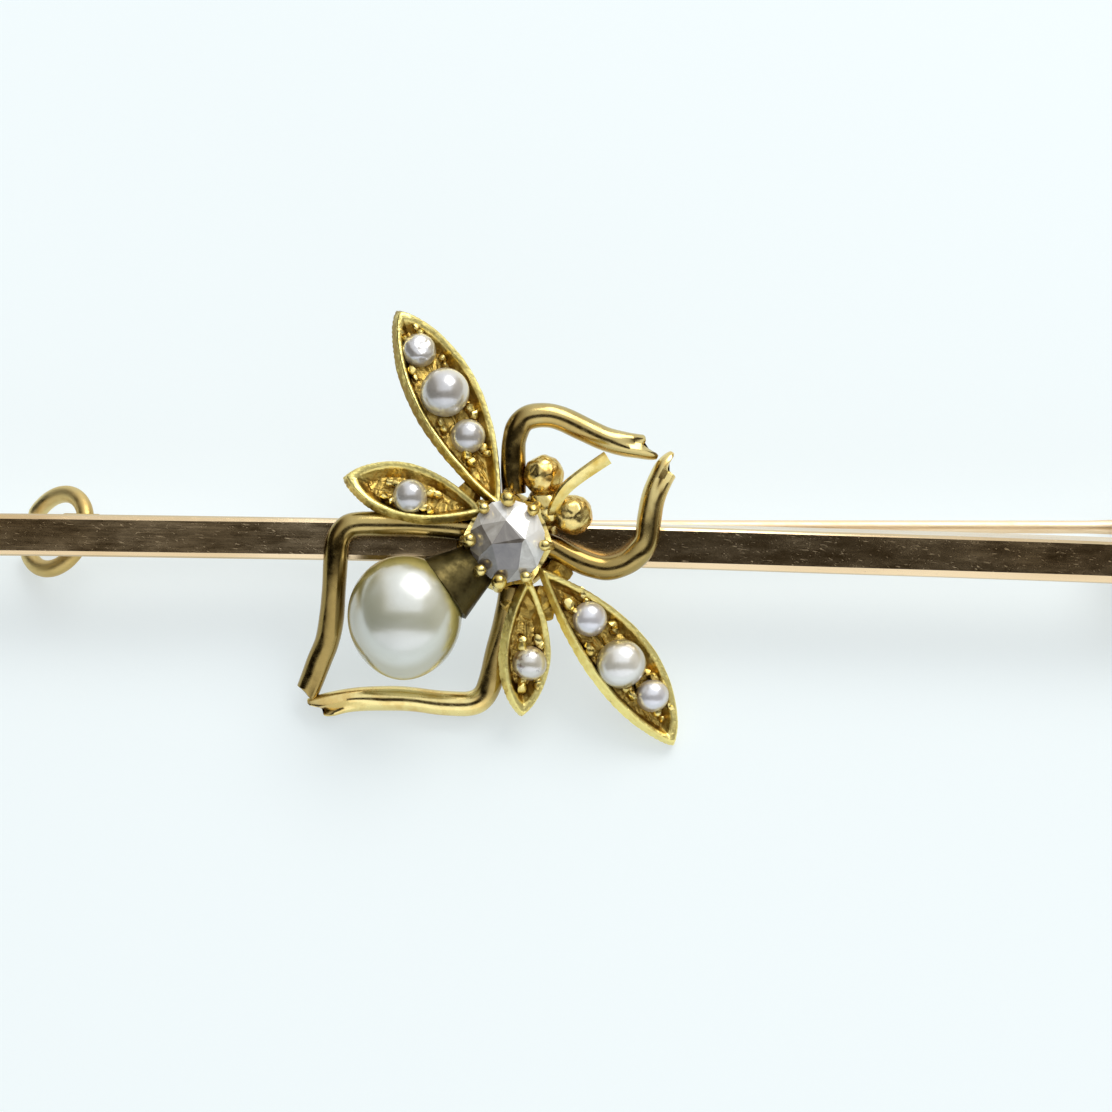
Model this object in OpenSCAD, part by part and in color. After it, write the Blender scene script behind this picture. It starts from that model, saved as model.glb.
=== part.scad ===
// Bar brooch: a square gold rod that carries an insect set with pearls and one rose-cut stone.
// Local axes: X runs along the bar, Y is up the front face, Z comes out of the front face.
// The bar's centre line is at Y = 0, Z = 0, and the centre stone is at X = 0.
// The whole brooch is then leaned back until it lies on Z = 0, on its catch, its hinge and a wing tip.

/* [Bar] */
// Length of the bar
bar_length = 57; // [54:0.5:64]
// Side of the bar's square section
bar_side = 1.6; // [1.4:0.05:1.8]
// Bevel along the bar's four long edges
bar_bevel = 0.14; // [0.05:0.01:0.25]

/* [Catch] */
// Distance from the centre stone to the catch, along the bar
catch_offset = 17.4; // [16:0.1:19]
// Radius of the catch ring, to the middle of its wire
catch_ring_r = 1.52; // [1.4:0.01:1.6]
// Radius of the catch wire
catch_wire_r = 0.33; // [0.28:0.01:0.35]
// Turn of the ring about the upright axis
catch_turn = 46; // [40:1:50]
// Lean of the ring to the side, seen from the front
catch_lean = 26; // [22:1:28]

/* [Pin] */
// Distance from the centre stone to the hinge rivet, along the bar
hinge_offset = 24.5; // [24:0.1:25.5]
// Radius of the pin stem along its parallel length
stem_r = 0.25; // [0.22:0.01:0.27]
// Length of the stem's parallel part
stem_parallel = 35; // [30:1:36]
// Length of the stem that runs on past the catch
stem_past_catch = 2.6; // [2:0.1:4]
// Length of the stem's sharp point
stem_point_length = 2.2; // [1.5:0.1:3]
// Tilt of the rivet from the upright axis, so that the stem leaves the catch by its mouth
rivet_tilt = 20; // [18:1:22]
// Radius of the rivet's shank
rivet_r = 0.35; // [0.3:0.01:0.4]
// Running clearance between the rivet and the stem's eye, on the radius
rivet_clearance = 0.03; // [0.02:0.01:0.05]

/* [Insect] */
// Half width and half height of the centre stone
stone_semi = [1.43, 1.58]; // [1.3:0.01:1.7]
// Radius of the abdomen pearl across its middle
abdomen_r = 2.15; // [2.1:0.01:2.2]
// Half of the abdomen pearl's height
abdomen_half_height = 2.34; // [2.25:0.01:2.4]
// Radius of the leg wire
leg_r = 0.464; // [0.464:0.004:0.472]
// Radius of the eyes
eye_r = 0.76; // [0.7:0.01:0.8]
// Roll of each wing tray about its long axis, rear edge towards the viewer
wing_roll = 14.5; // [14.5:0.5:15.5]
// Thickness of the wing trays
wing_thickness = 1.05; // [1:0.01:1.1]
// Depth of the wing tray's floor below its rim
wing_floor_depth = 0.36; // [0.3:0.01:0.4]
// Width of the wing tray's rim
wing_rim = 0.17; // [0.14:0.01:0.2]

/* [Rest] */
// Angle by which the brooch leans back where it lies
rest_tilt = 28; // [27:0.5:29]
// Height of the bar's centre line above the surface
rest_height = 3.5; // [3.4:0.01:3.6]
// Shift towards the back that puts the middle of the brooch's outline over the origin
rest_shift = -0.2; // [-0.5:0.01:0.5]

/* [Hidden] */
SEEDS = ["seed_pearl_1", "seed_pearl_2", "seed_pearl_3", "seed_pearl_4",
         "seed_pearl_5", "seed_pearl_6", "seed_pearl_7", "seed_pearl_8"];

rose_gold = "#b08858";
yellow_gold = "#c8a040";
pearl_white = "#dcdccf";
stone_grey = "#c9c7c4";

fine = 64;              // exact round surfaces
mesh_fn = 16;           // round forms inside the insect's meshed frame
gap = 0.03;             // clearance between a stone and its metal
bar_half = bar_side / 2;

// Catch
catch_centre = [-catch_offset, 0.05, -2.52];
mouth_middle = -25;     // angle of the mouth round the ring, from straight back towards up
mouth_half = 24;
foot_size = 1.5;

// Hinge: the rivet's middle, and offsets along the rivet from there
hinge_centre = [hinge_offset, 1.0, -3.15];
eye_outer_r = 0.75;
eye_half = 0.62;
ear_gap = 0.05;
ear_thickness = 0.42;
ear_r = 1.0;
ear_outer = eye_half + ear_gap + ear_thickness;
bracket_back = -1.15;   // the bracket's inner wall, in front of the rivet
bracket_front = -1.7;
bracket_half_width = 1.0;
rivet_head_r = 0.55;
rivet_head_height = 0.2;
stem_offset = 0.3;      // where the stem leaves the eye, along the rivet
stem_root_r = 0.31;     // the stem is thicker where it leaves the eye
stem_root_length = 2.2;
stem_tip_r = 0.2;       // and a little thinner where the sharp point starts
stem_point_r = 0.05;
bracket_foot = [2, 1.35, 0.8];
rivet_axis = [0, cos(rivet_tilt), -sin(rivet_tilt)];
stem_root = hinge_centre + stem_offset * rivet_axis;
stem_at_catch = [-catch_offset, 0.25, -2.4];

// Insect levels, out of the bar's front face
seat_z = bar_half;
thorax_top = 1.45;
girdle_z = 2.3;
stone_centre = [0, 0.06];
collet_foot_r = 1.2;
claw_angles = [355, 49, 90, 130, 180, 226, 259, 301];
claw_r = 0.17;
grain_r = 0.148;
head_centre = [1.45, 1.4, 1.45];
head_r = 0.8;
eye_places = [[1.31, 2.56, 1.8], [2.41, 1.1, 1.8]];
pearl_centre = [-3.81, -2.92, 1.95];
pearl_root = [-0.9, -0.69, 1.6];
cup_rim_r = 1.4;
cup_foot_r = 0.8;
cup_depth = 1.84;       // from the pearl's centre back to the cup's rim
peg_r = 0.25;
peg_depth = 1.2;
peg_overlap = 0.6;      // the peg's root, inside the cup

// Wings: tip, direction in degrees, tray length, width, bow of the outline to its left, droop in degrees
wing_tip = 0;
wing_way = 1;
wing_length = 2;
wing_width = 3;
wing_bow = 4;
wing_droop = 5;
wing_side = 6;          // -1 where the rear edge is on the right, seen from the tip
wings = [
    [[-4.34, 8.78, 1.05], 118.5, 8.7, 2.72, 0.1, 8, -1],
    [[-6.29, 2.43, 1.6], 166.8, 5.7, 2.22, 0, 7, -1],
    [[6.59, -7.55, 0.6], -51.3, 8.7, 2.6, -0.3, 11, 1],
    [[0.75, -6.66, 1.15], -91, 5.6, 1.96, 0, 11, 1]
];

// Seed pearls: wing number, distance from the wing's tip, sideways offset, radius
seed_wing = 0;
seed_along = 1;
seed_across = 2;
seed_r = 3;
seeds = [
    [0, 1.80, 0.02, 0.65],
    [0, 3.72, 0.09, 0.93],
    [0, 5.57, 0.17, 0.66],
    [1, 2.70, -0.13, 0.66],
    [2, 5.90, -0.34, 0.66],
    [2, 3.85, -0.18, 0.93],
    [2, 2.05, -0.46, 0.63],
    [3, 2.12, -0.20, 0.66]
];

// Leg routes: X, Y and Z of points on the wire's centre line, from the thorax to the cut tip
front_upper_leg = [[0.18, 1.9, 1.4], [0.15, 3.33, 1.65], [0.18, 3.9, 1.75], [0.34, 4.42, 1.8],
    [0.69, 4.73, 1.8], [1.3, 4.82, 1.8], [1.95, 4.7, 1.75], [2.83, 4.3, 1.6], [3.6, 3.98, 1.5],
    [4.36, 3.8, 1.4], [5.0, 3.72, 1.3], [5.59, 3.62, 1.2]];
front_lower_leg = [[1.2, 0.0, 1.35], [1.79, -0.17, 1.4], [2.44, -0.5, 1.45], [3.13, -0.79, 1.5],
    [3.78, -0.89, 1.5], [4.46, -0.68, 1.5], [4.95, -0.29, 1.5], [5.24, 0.21, 1.45],
    [5.32, 0.97, 1.4], [5.44, 1.74, 1.35], [5.65, 2.35, 1.3], [5.94, 2.93, 1.2], [6.31, 3.31, 1.1]];
hind_upper_leg = [[-1.3, 0.45, 1.35], [-2.03, 0.51, 1.4], [-3.36, 0.59, 1.4], [-4.69, 0.6, 1.4],
    [-5.62, 0.57, 1.4], [-6.09, 0.4, 1.4], [-6.4, -0.05, 1.38], [-6.48, -0.81, 1.32],
    [-6.53, -1.95, 1.05], [-6.6, -2.9, 0.75], [-6.77, -3.86, 0.45], [-7.05, -4.62, 0.25],
    [-7.33, -5.39, 0.1], [-7.56, -5.95, 0.03]];
hind_lower_leg = [[0.2, -1.6, 1.35], [0.12, -2.18, 1.2], [-0.05, -3.14, 0.9], [-0.32, -4.28, 0.6],
    [-0.53, -5.24, 0.35], [-0.8, -5.86, 0.22], [-1.31, -6.14, 0.15], [-2.26, -6.15, 0.12],
    [-3.4, -6.04, 0.12], [-4.73, -6.02, 0.12], [-5.87, -6.12, 0.1], [-6.63, -6.3, 0.08],
    [-7.4, -6.47, 0.05]];
feeler_route = [[1.6, 1.05, 1.9], [1.7, 1.3, 2.25], [1.86, 1.66, 2.5], [2.12, 2.04, 2.62],
    [2.49, 2.39, 2.68], [3.06, 2.82, 2.72], [3.69, 3.26, 2.7]];
feeler_half = [0.25, 0.12];
wire_sides = 8;
steps_a_span = 2;
notch_depth = 0.75;
notch_width = 0.34;

function unit(v) = v / norm(v);

// One point of a smooth curve through p, between points i and i + 1
function curve_at(p, i, t) =
    let(a = p[max(i - 1, 0)], b = p[i], c = p[i + 1], d = p[min(i + 2, len(p) - 1)])
    b + t / 2 * ((c - a) + t * ((2 * a - 5 * b + 4 * c - d) + t * (3 * b - a - 3 * c + d)));

function smooth(p, steps) = concat(
    [for (i = [0:len(p) - 2], k = [0:steps - 1]) curve_at(p, i, k / steps)],
    [p[len(p) - 1]]);

function tangent(p, i) = unit(p[min(i + 1, len(p) - 1)] - p[max(i - 1, 0)]);

// One ring of a bent wire's skin, square to the route
function wire_ring(p, i, half, sides) =
    let(t = tangent(p, i), side = unit(cross([0, 0, 1], t)), rise = cross(t, side))
    [for (k = [0:sides - 1])
        p[i] + half[0] * cos(360 * k / sides) * side + half[1] * sin(360 * k / sides) * rise];

// A bent wire: an oval section swept along a smooth route, closed at both ends
module bent_wire(route, half, sides) {
    p = smooth(route, steps_a_span);
    n = len(p);
    skin = [for (i = [0:n - 1]) each wire_ring(p, i, half, sides)];
    walls = [for (i = [0:n - 2], k = [0:sides - 1])
        [(i + 1) * sides + k, (i + 1) * sides + (k + 1) % sides,
         i * sides + (k + 1) % sides, i * sides + k]];
    start = [for (k = [0:sides - 1]) k];
    finish = [for (k = [sides - 1:-1:0]) (n - 1) * sides + k];
    polyhedron(skin, concat([start], walls, [finish]));
}

// Puts its children with their Z axis along a direction
module aim(from, way) {
    w = unit(way);
    translate(from) rotate([0, acos(w[2]), atan2(w[1], w[0])]) children();
}

// A leg, with a V cut in its tip
module leg(route) {
    last = route[len(route) - 1];
    way = unit(last - route[len(route) - 2]);
    difference() {
        bent_wire(route, [leg_r, leg_r], wire_sides);
        translate(last) rotate([0, 0, atan2(way[1], way[0])])
            linear_extrude(4 * leg_r, center = true)
                polygon([[-notch_depth, 0], [gap, -notch_width / 2], [gap, notch_width / 2]]);
    }
}

// Leans the brooch back and lifts it to where it lies on the surface
module lie() {
    translate([0, rest_shift, rest_height]) rotate([rest_tilt, 0, 0]) children();
}

// Puts its children in the hinge's frame: Z along the rivet, X back and down, the stem's way out
module at_hinge() {
    translate(hinge_centre) rotate([-90 - rivet_tilt, 0, 0]) rotate([0, 0, 90]) children();
}

module bar() {
    color(rose_gold) lie() translate([-bar_length / 2, 0, 0])
        rotate([90, 0, 90]) linear_extrude(bar_length)
            polygon([for (q = [0:3], e = [0, 1])
                let(c = bar_half, b = bar_half - bar_bevel)
                [[c, b], [b, c], [-b, c], [-c, b], [-c, -b], [-b, -c], [b, -c], [c, -b]][2 * q + e]]);
}

module catch_hook() {
    front = catch_centre[2] + catch_ring_r * cos(catch_turn);
    foot_x = catch_ring_r * sin(catch_turn);
    color(yellow_gold) lie() union() {
        translate(catch_centre) rotate([0, 0, -catch_lean]) rotate([0, 90 + catch_turn, 0])
            rotate([0, 0, mouth_middle + mouth_half])
                rotate_extrude(angle = 360 - 2 * mouth_half, $fn = fine)
                    translate([catch_ring_r, 0]) circle(catch_wire_r, $fn = fine);
        translate([catch_centre[0] + foot_x - foot_size / 2, -foot_size / 2, front])
            cube([foot_size, foot_size, -bar_half - front]);
    }
}

module hinge_bracket() {
    color(rose_gold) lie() difference() {
        union() {
            translate([hinge_offset, 0.07, -bar_half - bracket_foot[2] / 2])
                cube(bracket_foot, center = true);
            at_hinge() {
                translate([bracket_front, -bracket_half_width, -ear_outer])
                    cube([bracket_back - bracket_front, 2 * bracket_half_width, 2 * ear_outer]);
                for (low = [-ear_outer, ear_outer - ear_thickness]) translate([0, 0, low]) {
                    cylinder(r = ear_r, h = ear_thickness, $fn = fine);
                    translate([bracket_front, -bracket_half_width, 0])
                        cube([-bracket_front, 2 * bracket_half_width, ear_thickness]);
                }
            }
        }
        at_hinge() cylinder(r = rivet_r + 0.01, h = 4 * ear_outer, center = true, $fn = fine);
    }
}

module hinge_rivet() {
    head = ear_outer + 0.02;
    color(rose_gold) lie() at_hinge() {
        cylinder(r = rivet_r, h = 2 * head, center = true, $fn = fine);
        for (end = [-head - rivet_head_height, head]) translate([0, 0, end])
            cylinder(r = rivet_head_r, h = rivet_head_height, $fn = fine);
    }
}

module pin_stem() {
    way = stem_at_catch - stem_root;
    start = (eye_outer_r + rivet_r) / 2;
    shaft = norm(way) + stem_past_catch - stem_point_length;
    color(rose_gold) lie() difference() {
        union() {
            at_hinge() cylinder(r = eye_outer_r, h = 2 * eye_half, center = true, $fn = fine);
            aim(stem_root, way) rotate_extrude($fn = fine) polygon([
                [0, start], [stem_root_r, start], [stem_r, stem_root_length],
                [stem_r, stem_root_length + stem_parallel], [stem_tip_r, shaft],
                [stem_point_r, shaft + stem_point_length], [0, shaft + stem_point_length]]);
        }
        at_hinge() cylinder(r = rivet_r + rivet_clearance, h = 3 * eye_half, center = true, $fn = fine);
    }
}

// Half width of a wing's outline, as a share of its largest, at a share t of its length from the tip
function leaf_half(t) = pow(sin(180 * pow(t, 0.82)), 0.85);

// A wing's outline: fuller towards the tip, slender towards the root, bowed to one side
module leaf(length, width, bow) {
    n = 12;
    places = [for (i = [0:n]) pow(i / n, 1.3)];
    polygon([
        for (i = [0:n]) [length * places[i], (width / 2 + bow) * leaf_half(places[i])],
        for (i = [n - 1:-1:1]) [length * places[i], (bow - width / 2) * leaf_half(places[i])]]);
}

// Puts its children in a wing's frame: origin at the tip, X back towards the thorax, Z out of the tray
module at_wing(w) {
    translate(w[wing_tip]) rotate([0, 0, w[wing_way] + 180]) rotate([0, -w[wing_droop], 0])
        rotate([w[wing_side] * wing_roll, 0, 0]) children();
}

// The height of a seed pearl's centre over the rim: a larger pearl stands a little prouder
function seed_z(s) = s[seed_r] - wing_thickness + 0.2;

module at_seed(s) {
    at_wing(wings[s[seed_wing]]) translate([s[seed_along], s[seed_across], seed_z(s)]) children();
}

// A wing tray: a leaf with drafted walls, a sunk floor and a bead of metal all round
module wing_tray(w) {
    floor_length = w[wing_length] - 4 * wing_rim;
    under = 0.72;
    at_wing(w) difference() {
        hull() {
            translate([0, 0, -0.2]) linear_extrude(0.2) leaf(w[wing_length], w[wing_width], w[wing_bow]);
            translate([w[wing_length] * (1 - under) / 2, 0, -wing_thickness])
                linear_extrude(0.1) leaf(w[wing_length] * under, w[wing_width] * under, w[wing_bow]);
        }
        translate([2 * wing_rim, 0, -wing_floor_depth]) linear_extrude(1)
            leaf(floor_length, w[wing_width] - 2 * wing_rim, w[wing_bow]);
    }
}

module grains(s) {
    reach = s[seed_r] + grain_r + gap;
    for (a = [38, 142, 218, 322])
        at_wing(wings[s[seed_wing]])
            translate([s[seed_along], s[seed_across], 0.1 - wing_floor_depth])
                rotate([0, 0, a]) translate([reach, 0, 0]) sphere(grain_r, $fn = 8);
}

// Puts its children in the centre stone's frame: origin in the middle of its flat back
module at_stone() {
    translate([stone_centre[0], stone_centre[1], girdle_z]) children();
}

// The open seat that is cut for the centre stone
module stone_seat() {
    at_stone() translate([0, 0, -gap]) linear_extrude(2)
        scale([stone_semi[0] + gap, stone_semi[1] + gap]) circle(1, $fn = 32);
}

// The ring of metal under the stone, notched between its claws
module collet() {
    wall = 0.2;
    depth = girdle_z - seat_z;
    difference() {
        at_stone() hull() {
            translate([0, 0, -depth]) linear_extrude(0.1) circle(collet_foot_r, $fn = 32);
            translate([0, 0, 0.07]) linear_extrude(0.1)
                scale([stone_semi[0] + gap + wall, stone_semi[1] + gap + wall]) circle(1, $fn = 32);
        }
        for (i = [0:7])
            let(next = claw_angles[(i + 1) % 8] + (i == 7 ? 360 : 0), a = (claw_angles[i] + next) / 2)
                at_stone() rotate([0, 0, a]) translate([1.1, 0, 0.3]) rotate([0, 90, 0])
                    cylinder(r = 0.42, h = 2, $fn = 12);
    }
}

// Eight claws, bent in over the stone's edge, each with a rounded end
module claws() {
    reach = [stone_semi[0] + gap + claw_r, stone_semi[1] + gap + claw_r];
    at_stone() for (a = claw_angles) {
        top = [reach[0] * cos(a), reach[1] * sin(a), 0.05];
        hull() {
            translate([0.75 * top[0], 0.75 * top[1], 0.3 + seat_z - girdle_z]) sphere(0.12, $fn = 8);
            translate(top) sphere(claw_r, $fn = 8);
        }
        translate([0.97 * top[0], 0.97 * top[1], 0.38]) sphere(0.2, $fn = 10);
        translate([top[0], top[1], 0]) cylinder(r = claw_r, h = 0.35, $fn = 8);
    }
}

// The half profile of the abdomen pearl, grown by a clearance: an egg with its narrow end down
function egg(extra) = [for (i = [0:20]) let(a = 180 * i / 20, taper = 1 - 0.05 * cos(a))
    [max(0, (abdomen_r + extra) * sin(a) * taper), -(abdomen_half_height + extra) * cos(a)]];

module pearl_body(extra, sides) {
    translate(pearl_centre) rotate([-90, 0, 0]) rotate_extrude($fn = sides) polygon(egg(extra));
}

// Puts its children in the peg's frame: origin at the pearl's centre, Z away from the thorax
module at_abdomen() {
    aim(pearl_centre, pearl_centre - pearl_root) children();
}

// The cone that holds the abdomen pearl
module pearl_cup() {
    reach = norm(pearl_centre - pearl_root);
    at_abdomen() translate([0, 0, -reach])
        cylinder(r1 = cup_foot_r, r2 = cup_rim_r, h = reach - cup_depth, $fn = 32);
}

// The peg that the pearl's drilled hole fits over
module peg(extra, sides) {
    at_abdomen() translate([0, 0, -abdomen_r - peg_overlap])
        cylinder(r = peg_r + extra, h = peg_depth + peg_overlap + extra, $fn = sides);
}

module head_and_eyes() {
    translate(head_centre) sphere(head_r, $fn = mesh_fn);
    hull() {
        translate([0.6, 0.6, 1.2]) sphere(0.4, $fn = 10);
        translate(head_centre) sphere(0.45, $fn = 10);
    }
    for (e = eye_places) translate(e) sphere(eye_r, $fn = mesh_fn);
    bent_wire(feeler_route, feeler_half, 8);
}

module insect_frame() {
    color(yellow_gold) lie() intersection() {
        translate([-20, -20, -20]) difference() {
            cube(40);
            translate([0, 20 - bar_half - gap, 0]) cube([40, bar_side + 2 * gap, 20 + seat_z]);
        }
        union() {
            difference() {
                union() {
                    translate([0, 0, seat_z]) hull() {
                        cylinder(r = 1.9, h = 0.3, $fn = 24);
                        cylinder(r = 1.5, h = thorax_top - seat_z, $fn = 24);
                    }
                    for (w = wings) wing_tray(w);
                    collet();
                    pearl_cup();
                }
                for (s = seeds) at_seed(s) sphere(s[seed_r] + 0.05, $fn = 24);
                pearl_body(gap + 0.02, 32);
                stone_seat();
            }
            for (s = seeds) grains(s);
            claws();
            peg(0, 12);
            head_and_eyes();
            leg(front_upper_leg);
            leg(front_lower_leg);
            leg(hind_upper_leg);
            leg(hind_lower_leg);
        }
    }
}

// A rose cut: a small table, six star faces, eighteen outer faces, a thin girdle and a flat back
module centre_stone() {
    girdle = 0.12;
    rings = [[1, 0, 12, 0], [1, girdle, 12, 0], [0.6, 0.78, 6, 15], [0.2, 1.02, 6, 15]];
    pts = [for (r = rings, k = [0:r[2] - 1]) let(a = 360 * k / r[2] + r[3])
        [r[0] * stone_semi[0] * cos(a), r[0] * stone_semi[1] * sin(a), r[1]]];
    back = [for (k = [0:11]) k];
    band = [for (k = [0:11]) [k, 12 + k, 12 + (k + 1) % 12, (k + 1) % 12]];
    wide = [for (k = [0:5]) [12 + 2 * k, 24 + k, 12 + 2 * k + 1]];
    left = [for (k = [0:5]) [12 + (2 * k + 1) % 12, 24 + k, 12 + (2 * k + 2) % 12]];
    between = [for (k = [0:5]) [24 + k, 24 + (k + 1) % 6, 12 + (2 * k + 2) % 12]];
    star = [for (k = [0:5]) let(next = (k + 1) % 6)
        each [[24 + k, 30 + k, 24 + next], [30 + k, 30 + next, 24 + next]]];
    table = [for (k = [5:-1:0]) 30 + k];
    color(stone_grey) lie() at_stone()
        polyhedron(pts, concat([back], band, wide, left, between, star, [table]));
}

module abdomen_pearl() {
    color(pearl_white) lie() difference() {
        pearl_body(0, fine);
        peg(gap, fine);
    }
}

module seed_pearl(i) {
    color(pearl_white) lie() at_seed(seeds[i]) sphere(seeds[i][seed_r], $fn = 48);
}

bar();
catch_hook();
hinge_bracket();
hinge_rivet();
pin_stem();
insect_frame();
centre_stone();
abdomen_pearl();
for (i = [0:7]) seed_pearl(i);
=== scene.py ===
import math
import random
import bmesh
import bpy
from mathutils import Matrix, Vector, noise


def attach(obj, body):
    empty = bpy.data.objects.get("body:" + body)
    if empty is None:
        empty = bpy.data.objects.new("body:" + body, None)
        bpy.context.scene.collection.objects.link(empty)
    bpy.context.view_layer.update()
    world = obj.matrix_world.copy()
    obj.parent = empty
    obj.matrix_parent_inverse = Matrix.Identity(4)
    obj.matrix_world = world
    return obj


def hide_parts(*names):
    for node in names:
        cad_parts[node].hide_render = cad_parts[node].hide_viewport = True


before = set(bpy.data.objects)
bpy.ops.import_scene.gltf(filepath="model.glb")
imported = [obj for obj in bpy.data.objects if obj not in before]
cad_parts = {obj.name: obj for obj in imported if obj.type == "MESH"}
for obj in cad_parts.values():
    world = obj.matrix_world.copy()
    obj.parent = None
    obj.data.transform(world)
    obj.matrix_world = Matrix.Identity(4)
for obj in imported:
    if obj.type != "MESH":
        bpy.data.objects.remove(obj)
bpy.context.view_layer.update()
print("frame loaded:", len(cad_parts), "nodes")

# Everything is modelled in millimetres on the brooch's own axes: X along the bar, Y up its front,
# Z out of its front, with the centre stone at X = 0. layDown then lays it on the floor, in metres.
rest = {"leanBack": 28.0, "barHeight": 3.5, "shift": -0.2}
mm = 0.001
weldMm = 0.0005  # points closer than this are joined
insectGold = ("yellow_gold", ["insect_frame"])  # the slot and the node of all the insect's soldered parts
lean = Matrix.Rotation(math.radians(rest["leanBack"]), 4, "X")
layDown = Matrix.Translation((0, rest["shift"] * mm, rest["barHeight"] * mm)) @ lean @ Matrix.Scale(mm, 4)
# one seed for the drawn sizes and one for the smooth dents, which Blender otherwise takes from the clock
dice = random.Random(7)
noise.seed_set(3)


def turned(axis, angle):
    return Matrix.Rotation(math.radians(angle), 4, axis)


def moved(x, y, z):
    return Matrix.Translation((x, y, z))


def aimed(way):
    # turns +Z to that way
    return Vector(way).to_track_quat("Z", "Y").to_matrix().to_4x4()


def jitter(point, scale, size):
    # a small smooth shift, the same every run
    return noise.noise_vector(Vector(point) * scale) * size


def placePiece(bm, name, material, slotName, nodes, body="brooch", sharp=40):
    bmesh.ops.remove_doubles(bm, verts=bm.verts, dist=weldMm)
    bmesh.ops.recalc_face_normals(bm, faces=bm.faces)
    mesh = bpy.data.meshes.new(name)
    bm.to_mesh(mesh)
    bm.free()
    mesh.transform(layDown)
    mesh.shade_smooth()
    mesh.set_sharp_from_angle(angle=math.radians(sharp))
    mesh.materials.append(material)
    piece = bpy.data.objects.new(name, mesh)
    bpy.context.scene.collection.objects.link(piece)
    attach(piece, body)
    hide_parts(*nodes)
    return piece


def ringEdges(ring):
    ring = set(ring)
    return {e for v in ring for e in v.link_edges if e.other_vert(v) in ring}


def bridgeRings(bm, rings, capStart=True, capEnd=True):
    for near, far in zip(rings, rings[1:]):
        bmesh.ops.bridge_loops(bm, edges=list(ringEdges(near) | ringEdges(far)))
    for ring, capped in ((rings[0], capStart), (rings[-1], capEnd)):
        if capped:
            cap = bmesh.ops.contextual_create(bm, geom=list(ring))
            bmesh.ops.triangulate(bm, faces=cap["faces"])


def smoothRoute(points, steps):
    # a Catmull-Rom curve through given points
    points = [Vector(p) for p in points]
    last = len(points) - 1
    route = []
    for i in range(last):
        a, b, c, d = points[max(i - 1, 0)], points[i], points[i + 1], points[min(i + 2, last)]
        for k in range(steps):
            t = k / steps
            bend = (2 * a - 5 * b + 4 * c - d) + t * (3 * b - a - 3 * c + d)
            route.append(b + t / 2 * ((c - a) + t * bend))
    return route + [points[last]]


def sweepWire(bm, route, halfAt, sides=16, shapeRing=None, roll=0.0):
    # a wire of oval section along a route; halfAt gives its half width and half height at a share of it
    last = len(route) - 1
    rings = []
    for i, centre in enumerate(route):
        way = (route[min(i + 1, last)] - route[max(i - 1, 0)]).normalized()
        side = Matrix.Rotation(math.radians(roll), 3, way) @ Vector((0, 0, 1)).cross(way).normalized()
        rise = way.cross(side)
        wide, high = halfAt(i / last)
        section = moved(*centre) @ Matrix((side * wide, rise * high, way)).transposed().to_4x4()
        ring = bmesh.ops.create_circle(bm, segments=sides, radius=1, matrix=section)["verts"]
        if shapeRing:
            shapeRing(ring, centre, side, rise, way, (last - i) / last, wide, high)
        rings.append(ring)
    bridgeRings(bm, rings)
    return rings


# Materials

def toLinear(hexColour, alpha=1.0):
    parts = [int(hexColour[i:i + 2], 16) / 255 for i in (1, 3, 5)]
    return [c / 12.92 if c <= 0.04045 else ((c + 0.055) / 1.055) ** 2.4 for c in parts] + [alpha]


def setStops(ramp, stops, eased):
    # colours or greys at their places along a ramp
    ramp.interpolation = "EASE" if eased else "LINEAR"
    while len(ramp.elements) < len(stops):
        ramp.elements.new(0.5)
    for element, (position, colour) in zip(ramp.elements, stops):
        element.position = position
        element.color = toLinear(colour) if isinstance(colour, str) else (colour, colour, colour, 1)


def addNode(tree, kind, settings=None, links=None):
    # settings in lower case are the node's own, the others its sockets; a linked node gives its first output
    node = tree.nodes.new(kind)
    for key, value in (settings or {}).items():
        if key in ("stops", "easedStops"):
            setStops(node.color_ramp, value, key == "easedStops")
        elif isinstance(key, str) and key[0].islower():
            setattr(node, key, value)
        else:
            node.inputs[key].default_value = value
    for key, source in (links or {}).items():
        tree.links.new(getattr(source, "outputs", (source,))[0], node.inputs[key])
    return node


def startMaterial(name):
    material = bpy.data.materials.new(name)
    material.use_nodes = True
    tree = material.node_tree
    place = addNode(tree, "ShaderNodeTexCoord").outputs["Object"]
    return material, tree, tree.nodes["Principled BSDF"], place


def finishShader(tree, shader, values, links):
    for key, value in values.items():
        shader.inputs[key].default_value = value
    for key, source in links.items():
        tree.links.new(getattr(source, "outputs", (source,))[0], shader.inputs[key])


def mottle(tree, place, acrossMm, detail=3.0, rough=0.55, stretch=(1, 1, 1), distort=0.0):
    # patches about that many millimetres across, drawn out along an axis whose stretch is below 1
    scaled = addNode(tree, "ShaderNodeMapping", {"Scale": [s / (acrossMm * mm) for s in stretch]},
                     {"Vector": place})
    return addNode(tree, "ShaderNodeTexNoise", {"Scale": 1.0, "Detail": detail, "Roughness": rough,
                                                "Distortion": distort}, {"Vector": scaled})


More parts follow.
